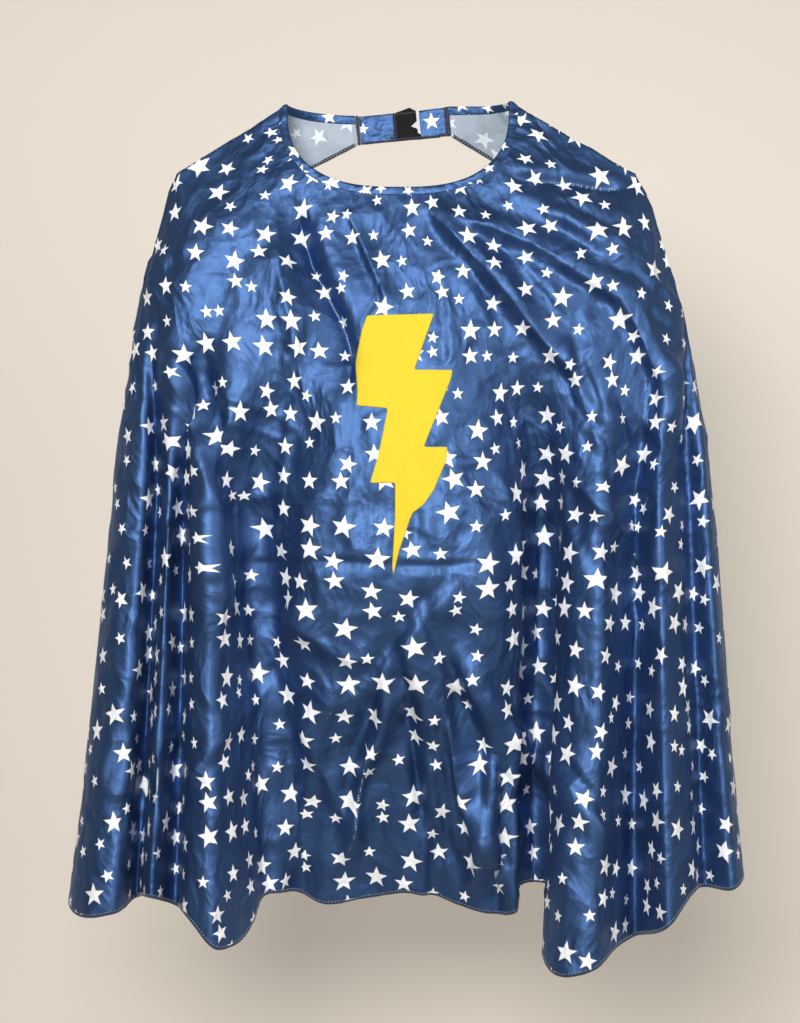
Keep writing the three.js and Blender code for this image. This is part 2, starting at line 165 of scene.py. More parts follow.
# Creases of the panel: points in the X-Z plane, height of the crease, its width, and its lean,
# which lifts one side and sinks the other.
CREASES = [
    ([(-99, -80), (-80, -146), (-56, -201), (-44, -240), (-50, -280)], -8.5, 13, 3.5),
    ([(-112, -90), (-108, -160), (-92, -230), (-74, -300)], 4.0, 16, 0.0),
    ([(-50, -98), (-28, -150), (-6, -200)], 2.2, 5, 1.0),
    ([(17, -92), (89, -174), (151, -244), (184, -275)], 4.2, 9, 4.0),
    ([(27, -100), (119, -136), (197, -184), (236, -255), (247, -320)], 4.0, 9, 3.8),
    ([(95, -68), (160, -72), (216, -78)], -4.0, 7, 2.0),
    ([(-156, -421), (-60, -417), (20, -421), (100, -418)], -1.2, 4, 0.8),
    ([(-23, -566), (-42, -640), (-57, -712)], 5.0, 9, 2.5),
    ([(84, -590), (79, -660), (72, -735)], 5.0, 9, -2.0),
    ([(37, -536), (64, -639), (104, -736)], 4.0, 9, 2.0),
    ([(0, -545), (22, -640), (46, -726)], -4.0, 12, 0.0),
    ([(-92, -546), (-60, -640), (-40, -690)], 3.0, 10, 1.5),
    ([(-110, -460), (-60, -500), (-10, -515)], 3.0, 14, 1.5),
    ([(-180, -240), (-150, -330), (-128, -410)], -2.5, 10, 1.5),
    ([(-215, -200), (-190, -260), (-172, -330), (-160, -420), (-150, -520)], 5.0, 12, -5.0),
    ([(80, -330), (110, -400), (118, -470)], 2.5, 12, 1.5),
    ([(150, -330), (200, -400), (240, -440)], 3.0, 10, 1.5),
    ([(-20, -270), (30, -330), (60, -400)], 2.0, 14, 1.2),
    ([(-12, -520), (-23, -566), (-42, -640), (-57, -712)], 3.2, 9, 4.0),
    ([(10, -520), (4, -540), (-18, -586), (-44, -640)], 2.8, 8, -3.6),
    ([(84, -560), (83, -600), (78, -670), (72, -738)], 3.0, 9, 3.6),
    ([(34, -500), (42, -550), (72, -640), (108, -730)], 3.4, 9, -4.0),
    ([(-2, -470), (18, -560), (26, -650), (20, -735)], 2.6, 9, 3.4),
    ([(-40, -500), (-70, -570), (-88, -660), (-92, -735)], 2.8, 10, -3.4),
    ([(60, -430), (20, -470), (-20, -520), (-70, -560)], 2.2, 9, 2.8),
]

# Smaller creases that run out from a point: the point, the nearest and farthest start, the
# shortest and longest, the range of directions from straight down, how many, height, width
FANS = [
    ((-8, -400), (40, 240), (80, 200), (-46, 48), 26, 5.5, 10),
    ((0, -20), (90, 300), (70, 190), (18, 72), 20, 2.6, 8),
    ((-10, -20), (110, 330), (60, 170), (-62, 6), 20, 2.4, 8),
    ((0, 260), (420, 820), (70, 180), (-26, 26), 34, 2.4, 7),
    ((-40, -330), (20, 200), (40, 110), (-160, 160), 22, 1.5, 5),
]
CREASE_GAIN = 2.1  # how much higher the listed creases stand than their numbers say

# Crumples all over the cloth: distance between them, height, random seed
CRUMPLES = [(74, 2.6, 3), (43, 1.9, 5), (25, 1.0, 8), (14, 0.4, 9)]


# ---- curves
def smoothstep(x, low, high):
    t = np.clip((np.asarray(x, dtype=float) - low) / (high - low), 0, 1)
    return t * t * (3 - 2 * t)


def lerp(a, b, t):
    return a + (b - a) * t


def through(knots, values, at):
    """A smooth curve through values at rising knots, read at the given places."""
    knots = np.asarray(knots, dtype=float)
    values = np.asarray(values, dtype=float)
    slopes = np.gradient(values, knots, axis=0)
    k = np.clip(np.searchsorted(knots, at, side="right") - 1, 0, len(knots) - 2)
    h = knots[k + 1] - knots[k]
    t = (np.asarray(at) - knots[k]) / h
    if values.ndim > 1:
        h, t = h[:, None], t[:, None]
    a, b = values[k], values[k + 1]
    da, db = slopes[k] * h, slopes[k + 1] * h
    return (
        (2 * t**3 - 3 * t**2 + 1) * a + (t**3 - 2 * t**2 + t) * da
        + (3 * t**2 - 2 * t**3) * b + (t**3 - t**2) * db
    )


def along(points):
    """Distance along a line of points, from its start."""
    steps = np.linalg.norm(np.diff(points, axis=0), axis=1)
    return np.concatenate([[0], np.cumsum(steps)])


def sampled(at, knots, values):
    """Each column of values, given at rising knots, read at other places."""
    return np.stack([np.interp(at, knots, column) for column in values.T], axis=1)


def outline(points, z):
    """The cape's half width at heights z, from one of its side outlines."""
    heights = np.array([p[0] for p in points], dtype=float)[::-1]
    widths = np.array([p[1] for p in points], dtype=float)[::-1]
    return through(heights, widths, np.clip(z, heights[0], heights[-1]))


# ---- the drape
def ring(u, yoke, skirt):
    """One level of the smooth drape at shares u of the girth, -1..1, the panel's middle at 0."""
    left = u < 0
    side = np.where(left, -1.0, 1.0)
    neck_width = np.where(left, *NECK_WIDTHS)
    neck_side = np.where(left, *NECK_SIDES)
    tip = np.where(left, -SHOULDER_TIPS[0][0], SHOULDER_TIPS[1][0])
    tip_z = np.where(left, SHOULDER_TIPS[0][1], SHOULDER_TIPS[1][1])
    if skirt > 0:
        side_z = lerp(tip_z, -HEM_DROP, skirt)
        width = np.where(left, outline(LEFT_OUTLINE, side_z), outline(RIGHT_OUTLINE, side_z))
        depth = lerp(SHOULDER_DEPTH, HEM_DEPTH, skirt)
        front_z = side_z - (1 - skirt) * (YOKE_FRONT + SHOULDER_TIPS[0][1])
        gap = lerp(SHOULDER_GAP, HEM_GAP, math.sqrt(skirt))
    else:
        side_z = lerp(neck_side, tip_z, yoke)
        width = lerp(neck_width, tip, yoke)
        depth = lerp(NECK_DEPTH, SHOULDER_DEPTH, yoke)
        front_z = -lerp(NECK_SCOOP, YOKE_FRONT, yoke)
        gap = lerp(SEAM_GAP, SHOULDER_GAP, max(0, yoke - SEAM_SHARE) / (1 - SEAM_SHARE))
    straight = width - depth
    bend = np.pi * depth
    rear = straight - gap
    run = np.abs(u) * (straight + bend + rear)
    turn = np.clip((run - straight) / depth, 0, np.pi)
    rear_run = np.maximum(0, run - straight - bend)
    across = np.minimum(run, straight) + depth * np.sin(turn)
    bow = CHEST_BOW * float(smoothstep(yoke + skirt, 0.1, 1.25))
    y = -np.cos(turn) * depth - bow * np.where(run < straight, 1 - (run / straight) ** 2, 0)
    plain = np.minimum(1, across / width)
    scoop = np.where(
        turn > np.pi / 2, 0, (1 - plain**SCOOP_ROUNDNESS) ** (1 / SCOOP_ROUNDNESS)
    )
    points = np.stack([side * (across - rear_run), y, lerp(side_z, front_z, scoop)], axis=1)
    return points, smoothstep(run, straight + bend / 2, straight + bend + rear)


def strap_point(seam, height):
    """A point of a strap seam, at a height above the strap's middle line."""
    x, y, z = seam
    return np.array([x - height * math.sin(STRAP_TILT), y, z + height * math.cos(STRAP_TILT)])


def edge_point(side, yoke, skirt):
    """Where the free edge is at a level of the yoke."""
    seam = LEFT_SEAM if side < 0 else RIGHT_SEAM
    shoulder = np.array(LEFT_SHOULDER_EDGE if side < 0 else RIGHT_SHOULDER_EDGE, dtype=float)
    if yoke <= SEAM_SHARE:
        return strap_point(seam, STRAP_HEIGHT * (0.5 - yoke / SEAM_SHARE))
    low = strap_point(seam, -STRAP_HEIGHT / 2)
    if skirt > 0:
        hem = np.array(FOLD_LINES[0 if side < 0 else -1][[0, 1, 4]])
        bow = math.sqrt(skirt)
        return np.array([
            lerp(shoulder[0], hem[0], bow),
            lerp(shoulder[1], hem[1], skirt),
            lerp(shoulder[2], hem[2], skirt),
        ])
    return lerp(low, shoulder, (yoke - SEAM_SHARE) / (1 - SEAM_SHARE))


def level(u, a, shares, yoke, skirt):
    """One row of the cloth. u and a are its columns' shares round the ring and along the hem."""
    points, rear_share = ring(u, yoke, skirt)
    for side in (-1, 1):
        here = (u < 0) if side < 0 else (u >= 0)
        last = points[0] if side < 0 else points[-1]
        pull = edge_point(side, yoke, skirt) - last
        points[here] += rear_share[here, None] * pull * (1 - skirt)
    if skirt > 0:
        folded = lerp(FOLD_LINES[:, 2:4], FOLD_LINES[:, 0:2], (skirt - WAIST) / (1 - WAIST))
        plan = through(shares, folded, a)
        points[:, :2] = lerp(points[:, :2], plan, float(smoothstep(skirt, 0.0, 0.42)))
        hem_z = through(shares, FOLD_LINES[:, 4], a)
        points[:, 2] += (hem_z + HEM_DROP) * skirt**2.2
    return points


def spread(count, shares):
    """Columns of the cloth, evenly spaced along the hem."""
    a = np.linspace(0, 1, count)
    middle = float(np.interp(0, FOLD_LINES[16:24, 0], shares[16:24]))
    return a, np.where(a < middle, (a - middle) / middle, (a - middle) / (1 - middle))


def hem_shares():
    """Each fold line's share of the way along the hem."""
    fine = np.linspace(0, 1, 2000)
    knots = np.linspace(0, 1, len(FOLD_LINES))
    length = along(through(knots, FOLD_LINES[:, :2], fine))
    return np.interp(knots, fine, length) / length[-1]


def make_drape():
    """The cloth's middle surface, rows by columns by 3, in millimetres."""
    shares = hem_shares()
    a, u = spread(COLUMNS, shares)
    levels = [(k / YOKE_ROWS, 0.0) for k in range(YOKE_ROWS)]
    levels += [(1.0, k / (ROWS - YOKE_ROWS - 1)) for k in range(ROWS - YOKE_ROWS)]
    return np.array([level(u, a, shares, yoke, skirt) for yoke, skirt in levels])


def fit_outline(grid):
    """Scales each side of each skirt row so that the silhouette is the cape's own."""
    for row in grid:
        left, right = np.argmin(row[:, 0]), np.argmax(row[:, 0])
        if row[left, 2] > SHOULDER_TIPS[0][1] - 4:
            continue
        want_left = outline(LEFT_OUTLINE, row[left, 2:3])[0]
        want_right = outline(RIGHT_OUTLINE, row[right, 2:3])[0]
        for side, have, want in ((-1, -row[left, 0], want_left), (1, row[right, 0], want_right)):
            here = side * row[:, 0] > 0
            share = np.abs(row[here, 0]) / have
            row[here, 0] *= 1 + (want / have - 1) * share
    return grid


def push_panel_out(grid):
    """Hangs the panel's middle on its profile: it tilts up above the waist and down below."""
    heights, places = np.array(PANEL_PROFILE, dtype=float).T
    for k, row in enumerate(grid):
        centre = np.argmin(np.where(row[:, 1] < 0, np.abs(row[:, 0]), FAR))
        wanted = through(heights, places, np.clip(row[centre, 2:3], heights[0], heights[-1]))[0]
        skirt = max(0.0, (k - YOKE_ROWS) / (ROWS - YOKE_ROWS))
        lower = smoothstep(skirt, 0, 0.55)
        flat, reach = lerp(30, 88, lower), lerp(200, 116, lower)
        share = 1 - smoothstep(np.abs(row[:, 0]), flat, reach)
        near_front = np.abs(np.arange(len(row)) - centre) < 0.3 * len(row)
        row[:, 1] += (wanted - row[centre, 1]) * share * near_front
    return grid


def normals_of(grid):
    """Unit normals of a grid of points, outwards on the printed side."""
    down = np.gradient(grid, axis=0)
    across = np.gradient(grid, axis=1)
    n = np.cross(down, across)
    return n / np.maximum(np.linalg.norm(n, axis=2, keepdims=True), 1e-9)


def crease_height(x, z, crease):
    """How far one crease lifts the cloth at points of the X-Z plane."""
    points, height, width, lean = crease
    points = np.array(points, dtype=float)
    best = np.full(x.shape, FAR)
    signed = np.zeros(x.shape)
    place = np.zeros(x.shape)
    length = along(points)
    for k in range(len(points) - 1):
        a, b = points[k], points[k + 1]
        d = b - a
        span = np.hypot(*d)
        t = np.clip(((x - a[0]) * d[0] + (z - a[1]) * d[1]) / span**2, 0, 1)
        px, pz = x - a[0] - t * d[0], z - a[1] - t * d[1]
        distance = np.hypot(px, pz)
        nearer = distance < best
        best = np.where(nearer, distance, best)
        signed = np.where(nearer, np.sign(d[0] * pz - d[1] * px) * distance, signed)
        place = np.where(nearer, (length[k] + t * span) / length[-1], place)
    taper = smoothstep(place, 0, 0.2) * (1 - smoothstep(place, 0.75, 1))
    crest = np.sqrt(best**2 + 1.5)  # a pressed crease is sharper than a bell curve
    profile = np.exp(-crest / (0.75 * width)) * height * 1.2
    tilt = lean * (signed / width) * np.exp(-((signed / width) ** 2) / 2)
    return (profile + tilt) * taper


def fan_creases():
    dice = np.random.default_rng(17)
    out = []
    for (x, z), starts, lengths, turns, count, height, width in FANS:
        for _ in range(count):
            turn = math.radians(dice.uniform(*turns))
            start, length = dice.uniform(*starts), dice.uniform(*lengths)
            bend = math.radians(dice.uniform(-14, 14))
            line = [(x + start * math.sin(turn), z - start * math.cos(turn))]
            for step in (0, 1, 2):
                heading = turn + bend * (step - 0.5)
                line.append((
                    line[-1][0] + length / 3 * math.sin(heading),
                    line[-1][1] - length / 3 * math.cos(heading),
                ))
            size = dice.choice([-0.6, 1]) * dice.uniform(0.4, 1)
            lean = dice.choice([-1, 1]) * dice.uniform(0.4, 1)
            out.append((line, height * size, width * dice.uniform(0.6, 1.4), height * lean))
    return out


def depth_outside(points, polygon):
    """Signed distance of points from a polygon's edge, negative inside it."""
    corners = np.array(polygon, dtype=float)
    best = np.full(points.shape[:-1], FAR)
    inside = np.zeros(points.shape[:-1], dtype=bool)
    x, z = points[..., 0], points[..., 1]
    for a, b in zip(corners, np.roll(corners, -1, axis=0)):
        d = b - a
        t = np.clip(((x - a[0]) * d[0] + (z - a[1]) * d[1]) / (d @ d), 0, 1)
        best = np.minimum(best, np.hypot(x - a[0] - t * d[0], z - a[1] - t * d[1]))
        spans = (a[1] > z) != (b[1] > z)
        rise = d[1] if abs(d[1]) > 1e-9 else 1e-9
        inside ^= spans & (x < a[0] + (z - a[1]) * d[0] / rise)
    return np.where(inside, -best, best)


def lattice_noise(x, y, cell, seed):
    """Smooth random heights, -1..1, over points of a plane."""
    dice = np.random.default_rng(seed)
    table = dice.uniform(-1, 1, (64, 64))
    gx, gy = np.asarray(x) / cell, np.asarray(y) / cell
    ix, iy = np.floor(gx).astype(int), np.floor(gy).astype(int)
    fx, fy = gx - ix, gy - iy
    fx, fy = fx**3 * (fx * (6 * fx - 15) + 10), fy**3 * (fy * (6 * fy - 15) + 10)
    corner = [[table[(ix + i) % 64, (iy + j) % 64] for j in (0, 1)] for i in (0, 1)]
    low = lerp(corner[0][0], corner[1][0], fx)
    high = lerp(corner[0][1], corner[1][1], fx)
    return lerp(low, high, fy)


def crumple(cut):
    """Small creases all over the cloth: ridges where two smooth noises cross zero."""
    x, y = cut[..., 0], cut[..., 1]
    height = np.zeros(x.shape)
    for cell, size, seed in CRUMPLES:
        bend = 0.45 * cell * lattice_noise(x, y, cell * 1.7, seed + 20)
        ridge = 1 - 2.2 * np.abs(lattice_noise(x + bend, y - bend, cell, seed))
        height += size * ridge * (0.5 + 0.5 * lattice_noise(x, y, cell * 3, seed + 40))
    return height


def add_creases(grid, cut):
    """Moves the cloth along its normals by its creases: calmer at the sides and by the bolt."""
    x, z = grid[..., 0], grid[..., 2]
    normals = normals_of(grid)
    front = smoothstep(-normals[..., 1], 0.1, 0.6)
    lift = np.zeros(x.shape)
    for crease in CREASES:
        lift += CREASE_GAIN * crease_height(x, z, crease)
    for crease in fan_creases():
        lift += crease_height(x, z, crease)
    calm = 1 - 0.6 * smoothstep(np.abs(x), 130, 190) * smoothstep(-z, 300, 420)
    steady = smoothstep(np.arange(len(grid)), 2, 14)[:, None]
    stiff = 1 - 0.7 * smoothstep(-depth_outside(grid[..., [0, 2]], BOLT), -14, 4) * front
    lift = (lift * front + crumple(cut) * calm * steady) * stiff
    return grid + normals * lift[..., None]


def unwrapped(points):
    """A coarse grid laid flat with the least stretch, by Blender's own unwrap."""
    rows, columns = points.shape[:2]
    verts, uvs = points.reshape(-1, 3) * MM, np.zeros((rows * columns, 2))
    obj = new_object("pattern", verts, grid_faces(rows, columns), uvs)
    bpy.context.view_layer.objects.active = obj
    bpy.ops.object.select_all(action="DESELECT")
    obj.select_set(True)
    bpy.ops.object.mode_set(mode="EDIT")
    bpy.ops.mesh.select_all(action="SELECT")
    bpy.ops.uv.unwrap(method="MINIMUM_STRETCH", margin=0.0, iterations=12)
    bpy.ops.object.mode_set(mode="OBJECT")
    loops = np.empty(len(obj.data.loops), dtype=np.int32)
    obj.data.loops.foreach_get("vertex_index", loops)
    flat = np.empty(len(loops) * 2)
    obj.data.uv_layers[0].data.foreach_get("uv", flat)
    out = np.zeros((rows * columns, 2))
    out[loops] = flat.reshape(-1, 2)
    bpy.data.meshes.remove(obj.data)
    return out.reshape(rows, columns, 2)


def cut_coordinates(grid):
    """Each point's place on the cloth laid flat, in millimetres, upright at the panel's middle."""
    rows = np.linspace(0, len(grid) - 1, 50).astype(int)
    columns = np.linspace(0, grid.shape[1] - 1, 150).astype(int)
    coarse = grid[rows][:, columns]
    flat = unwrapped(coarse)
    middle = (np.abs(coarse[..., 0]) < 100) & (coarse[..., 1] < 0) & (coarse[..., 2] > -500)
    target = coarse[middle][:, [0, 2]]
    source = flat[middle]
    moved = source - source.mean(axis=0)
    wanted = target - target.mean(axis=0)
    u, sizes, vt = np.linalg.svd(moved.T @ wanted)
    turn = u @ vt
    scale = sizes.sum() / (moved**2).sum()
    flat = (flat - source.mean(axis=0)) @ turn * scale + target.mean(axis=0)
    wide = np.stack([sampled(np.arange(grid.shape[1]), columns, row) for row in flat])
    tall = [sampled(np.arange(len(grid)), rows, wide[:, k]) for k in range(wide.shape[1])]
    return np.stack(tall, axis=1)


# ---- meshes
def new_object(name, vertices, faces, uvs=None, smooth=True):
    mesh = bpy.data.meshes.new(name)
    mesh.from_pydata([tuple(v) for v in vertices], [], faces)
    if uvs is not None:
        layer = mesh.uv_layers.new(name="cut")
        loops = np.empty(len(mesh.loops), dtype=np.int32)
        mesh.loops.foreach_get("vertex_index", loops)
        layer.data.foreach_set("uv", np.asarray(uvs)[loops].ravel())
    if smooth:
        mesh.polygons.foreach_set("use_smooth", [True] * len(mesh.polygons))
    mesh.update()
    obj = bpy.data.objects.new(name, mesh)
    bpy.context.collection.objects.link(obj)
    return obj


def grid_faces(rows, columns, start=0, flip=False):
    r, c = np.meshgrid(np.arange(rows - 1), np.arange(columns - 1), indexing="ij")
    a = (start + r * columns + c).ravel()
    quads = np.stack([a, a + columns, a + columns + 1, a + 1], axis=1)
    return (quads[:, ::-1] if flip else quads).tolist()


def shell(name, front, back, uv):
    """Two grids of points joined round their rims into one closed piece."""
    rows, columns = front.shape[:2]
    count = rows * columns
    faces = grid_faces(rows, columns) + grid_faces(rows, columns, start=count, flip=True)
    index = np.arange(count).reshape(rows, columns)
    rim = np.concatenate([index[0, :-1], index[:-1, -1], index[-1, :0:-1], index[:0:-1, 0]])
    for k, a in enumerate(rim):
        b = rim[(k + 1) % len(rim)]
        faces.append((int(a), int(b), int(b + count), int(a + count)))
    verts = np.concatenate([front.reshape(-1, 3), back.reshape(-1, 3)]) * MM
    uvs = np.concatenate([uv.reshape(-1, 2)] * 2) * MM
    return new_object(name, verts, faces, uvs)


def cloth_object(name, grid, uv, thickness):
    """A thin closed sheet: the printed face outside, the reverse inside."""
    half = normals_of(grid) * thickness / 2
    obj = shell(name, grid + half, grid - half, uv)
    face_count = (grid.shape[0] - 1) * (grid.shape[1] - 1)
    rim_count = len(obj.data.polygons) - 2 * face_count
    sides = [0] * face_count + [1] * face_count + [0] * rim_count
    obj.data.polygons.foreach_set("material_index", sides)
    return obj


def fasten(obj, material, body, slot, *nodes):
    """Gives a piece its material and its body, and hides the CAD nodes it stands for; slot is not
    used.
    """
    obj.data.materials.append(material)
    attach(obj, body)
    for node in nodes:
        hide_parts(node)


# ---- materials
class Nodes:
    """A short way to write a material's node tree."""

    def __init__(self, name):
        self.material = bpy.data.materials.new(name)
        self.material.use_nodes = True
        self.tree = self.material.node_tree
        self.shader = self.tree.nodes["Principled BSDF"]

    def add(self, kind, inputs=None, **settings):
        node = self.tree.nodes.new(kind)
        for key, value in settings.items():
            setattr(node, key, value)
        for key, value in (inputs or {}).items():
            self.put(node.inputs[key], value)
        return node

    def put(self, socket, value):
        if isinstance(value, bpy.types.NodeSocket):
            self.tree.links.new(value, socket)
        else:
            socket.default_value = value

    def math(self, operation, a, b=0.0, c=0.0):
        return self.add("ShaderNodeMath", {0: a, 1: b, 2: c}, operation=operation).outputs[0]

    def vector(self, operation, *inputs):
        node = self.add("ShaderNodeVectorMath", dict(enumerate(inputs)), operation=operation)
        return node.outputs

    def voronoi(self, vector, scale, feature="F1", **inputs):
        inputs.update(Vector=vector, Scale=scale)
        settings = {"voronoi_dimensions": "2D", "feature": feature}
        return self.add("ShaderNodeTexVoronoi", inputs, **settings).outputs

    def wave(self, vector, scale, direction, **inputs):
        inputs.update(Vector=vector, Scale=scale)
        settings = {"wave_type": "BANDS", "bands_direction": direction}
        return self.add("ShaderNodeTexWave", inputs, **settings).outputs["Fac"]

    def step(self, value, low, high, to_low=0.0, to_high=1.0):
        ends = {"From Min": low, "From Max": high, "To Min": to_low, "To Max": to_high}
        return self.add("ShaderNodeMapRange", {"Value": value, **ends}).outputs[0]

    def mix(self, factor, a, b):
        node = self.add("ShaderNodeMix", data_type="RGBA")
        self.put(node.inputs[0], factor)
        self.put(node.inputs[6], a)
        self.put(node.inputs[7], b)
        return node.outputs[2]

    def noise(self, vector, scale, detail=2.0, roughness=0.5, distortion=0.0):
        node = self.add(
            "ShaderNodeTexNoise",
            {"Vector": vector, "Scale": scale, "Detail": detail, "Roughness": roughness,
             "Distortion": distortion},
        )
        return node.outputs["Fac"]

    def noise_vector(self, vector, scale):
        node = self.add("ShaderNodeTexNoise", {"Vector": vector, "Scale": scale, "Detail": 1.0})
        return node.outputs["Color"]

    def uv(self):
        return self.add("ShaderNodeUVMap", uv_map="cut").outputs[0]

    def bump(self, height, distance, strength=1.0, normal=None):
        inputs = {"Height": height, "Distance": distance, "Strength": strength}
        if normal is not None:
            inputs["Normal"] = normal
        return self.add("ShaderNodeBump", inputs).outputs[0]

    def set(self, **values):
        for key, value in values.items():
            self.put(self.shader.inputs[key.replace("_", " ")], value)


STAR_CELL = 27.5  # mean spacing of the printed stars
STAR_SIZES = (10.0, 8.2, 5.8)  # radii of the three sizes
STAR_JITTER = 0.66  # 0 would set the stars on a square grid
STAR_WAIST = 0.42  # inner radius of a star, as a share of its outer one
SATIN_ROUGHNESS = 0.52


def star_mask(n):
    """1 inside the printed stars: one star in each cell of a jittered pattern on the flat cloth."""
    uv = n.vector("ADD", n.uv(), (3.0, 3.0, 0))[0]
    scale = 1 / (STAR_CELL * MM)
    near = n.voronoi(uv, scale, Randomness=STAR_JITTER)
    room = n.voronoi(uv, scale, "N_SPHERE_RADIUS", Randomness=STAR_JITTER)
    local = n.vector("SUBTRACT", uv, near["Position"])[0]
    dice = n.add("ShaderNodeSeparateColor", {0: near["Color"]}).outputs
    big, middle, small = (r * MM for r in STAR_SIZES)
    is_big = n.math("GREATER_THAN", dice[0], 0.62)
    is_middle = n.math("GREATER_THAN", dice[0], 0.36)
    radius = n.math("MULTIPLY_ADD", is_middle, middle - small, small)
    radius = n.math("MULTIPLY_ADD", is_big, big - middle, radius)
    limit = n.math("MULTIPLY", room["Radius"], 1.04 * STAR_CELL * MM)
    radius = n.math("MINIMUM", radius, limit)
    parts = n.add("ShaderNodeSeparateXYZ", {0: local}).outputs
    angle = n.math("ARCTAN2", parts[0], parts[1])
    spin = n.math("MULTIPLY_ADD", dice[1], 0.5, -0.25)
    fifth = 2 * math.pi / 5
    turned = n.math("ADD", n.math("ADD", angle, spin), 10 * fifth + fifth / 2)
    sector = n.math("ABSOLUTE", n.math("SUBTRACT", n.math("MODULO", turned, fifth), fifth / 2))
    share = n.math("DIVIDE", n.vector("LENGTH", local)["Value"], radius)
    px = n.math("MULTIPLY", share, n.math("COSINE", sector))
    py = n.math("MULTIPLY", share, n.math("SINE", sector))
    waist = (STAR_WAIST * math.cos(fifth / 2), STAR_WAIST * math.sin(fifth / 2))
    edge = Vector((waist[0] - 1, waist[1]))
    normal = Vector((edge.y, -edge.x)).normalized()
    outside = n.math("MULTIPLY_ADD", px, normal.x, -normal.x)
    outside = n.math("MULTIPLY_ADD", py, normal.y, outside)
    return n.step(outside, -0.03, 0.03, 1.0, 0.0)


def satin(name, reverse=False):
    """Crumpled satin with the star print: a dull metal outside, a pale matt reverse inside."""
    n = Nodes(name)
    stars = star_mask(n)
    uv = n.uv()
    drift = n.noise(uv, 9, 3)
    print_wear = n.noise(uv, 420, 2)
    if reverse:
        ground = n.mix(drift, (0.25, 0.31, 0.38, 1), (0.35, 0.41, 0.47, 1))
        white = (0.62, 0.66, 0.69, 1)
        n.set(Metallic=0.0, Specular_IOR_Level=0.4)
    else:
        ground = n.mix(drift, (0.042, 0.094, 0.228, 1), (0.060, 0.124, 0.280, 1))
        worn = n.step(print_wear, 0.4, 0.62)
        white = n.mix(worn, (0.78, 0.80, 0.82, 1), (0.90, 0.90, 0.90, 1))
        n.set(Metallic=n.math("MULTIPLY_ADD", stars, -0.90, 0.92), Specular_IOR_Level=0.35)
    n.set(Base_Color=n.mix(stars, ground, white))
    rough = n.math("MULTIPLY_ADD", n.noise(uv, 60, 3), 0.08, SATIN_ROUGHNESS)
    n.set(Roughness=n.math("MULTIPLY_ADD", stars, 0.1, rough))
    warp = n.vector("MULTIPLY_ADD", n.noise_vector(uv, 14), (0.05, 0.05, 0), uv)[0]
    crinkle = n.add(
        "ShaderNodeTexNoise",
        {"Vector": warp, "Scale": 24.0, "Detail": 2.5, "Roughness": 0.55, "Offset": 1.0,
         "Gain": 1.6},
        noise_type="RIDGED_MULTIFRACTAL", noise_dimensions="2D", normalize=False,
    ).outputs["Fac"]
    calm = n.step(n.noise(uv, 9, 2), 0.35, 0.65, 0.35, 1)
    facets = n.voronoi(
        n.vector("MULTIPLY", warp, (1.25, 0.8, 1))[0], 21.0, Detail=1.6, Roughness=0.5,
        Lacunarity=2.3,
    )["Distance"]
    normal = n.bump(facets, 0.0034)
    normal = n.bump(n.math("MULTIPLY", crinkle, calm), 0.0006, 1.0, normal)
    normal = n.bump(n.noise(uv, 45, 3, 0.55, 0.6), 0.0012, 0.30, normal)
    threads = n.wave(uv, 330.0, "X", Distortion=1.5, Detail=1.0, **{"Detail Scale": 2.0})
    n.set(Normal=n.bump(threads, 0.00008, 0.35, normal))
    return n.material


def thread(name, colour, twist=900.0):
    """Spun thread: fine diagonal plies and a soft sheen."""
    n = Nodes(name)
    plies = n.wave(n.uv(), twist, "DIAGONAL", Distortion=2.0, Detail=2.0)
    dark = tuple(0.55 * c for c in colour) + (1,)
    n.set(Base_Color=n.mix(plies, dark, colour + (1,)))
    n.set(Roughness=n.step(plies, 0, 1, 0.75, 0.5), Sheen_Weight=0.3, Specular_IOR_Level=0.3)
    n.set(Normal=n.bump(plies, 0.0002, 0.5))
    return n.material


def felt():
    """Smooth yellow felt: short matted fibres and faint mottling."""
    n = Nodes("yellow_felt")
    uv = n.uv()
    fibres = n.noise(uv, 1500, 4, 0.7, 1.5)
    mottle = n.noise(uv, 60, 4, 0.6)
    creases = n.noise(uv, 22, 3, 0.5, 1.0)
    base = n.mix(mottle, (0.58, 0.42, 0.010, 1), (0.67, 0.50, 0.016, 1))
    n.set(Base_Color=n.mix(n.step(fibres, 0.3, 0.75), base, (0.74, 0.58, 0.04, 1)))
    n.set(Roughness=n.step(fibres, 0.2, 0.8, 0.72, 0.9))
    n.set(Sheen_Weight=0.15, Sheen_Roughness=0.6, Sheen_Tint=(1.0, 0.90, 0.40, 1))
    n.set(Specular_IOR_Level=0.25)
    normal = n.bump(creases, 0.004, 0.25)
    n.set(Normal=n.bump(fibres, 0.0003, 0.5, normal))
    return n.material


def tape():
    """Black hook-and-loop tape: a matted pile with a few pale fibres caught in it."""
    n = Nodes("black_tape")
    uv = n.uv()
    pile = n.voronoi(uv, 1300.0)["Distance"]
    lint = n.step(n.noise(uv, 700, 5, 0.75, 3.0), 0.66, 0.72)
    dark = n.mix(pile, (0.010, 0.010, 0.014, 1), (0.003, 0.003, 0.004, 1))
    n.set(Base_Color=n.mix(n.math("MULTIPLY", lint, 0.5), dark, (0.10, 0.11, 0.14, 1)))
    n.set(Roughness=n.step(pile, 0, 1, 0.8, 0.95), Sheen_Weight=0.2, Specular_IOR_Level=0.2)
    n.set(Normal=n.bump(pile, 0.0006, 0.9))
    return n.material


def film():
    """Milky bonding web, melted into a fine net."""
    n = Nodes("bonding_film")
    net = n.voronoi(n.uv(), 500.0, "DISTANCE_TO_EDGE")["Distance"]
    n.set(Base_Color=n.mix(n.step(net, 0, 0.3), (0.9, 0.88, 0.8, 1), (0.6, 0.58, 0.5, 1)))
    n.set(Roughness=n.step(net, 0, 0.3, 0.4, 0.7), Normal=n.bump(net, 0.0002, 0.5))
    return n.material


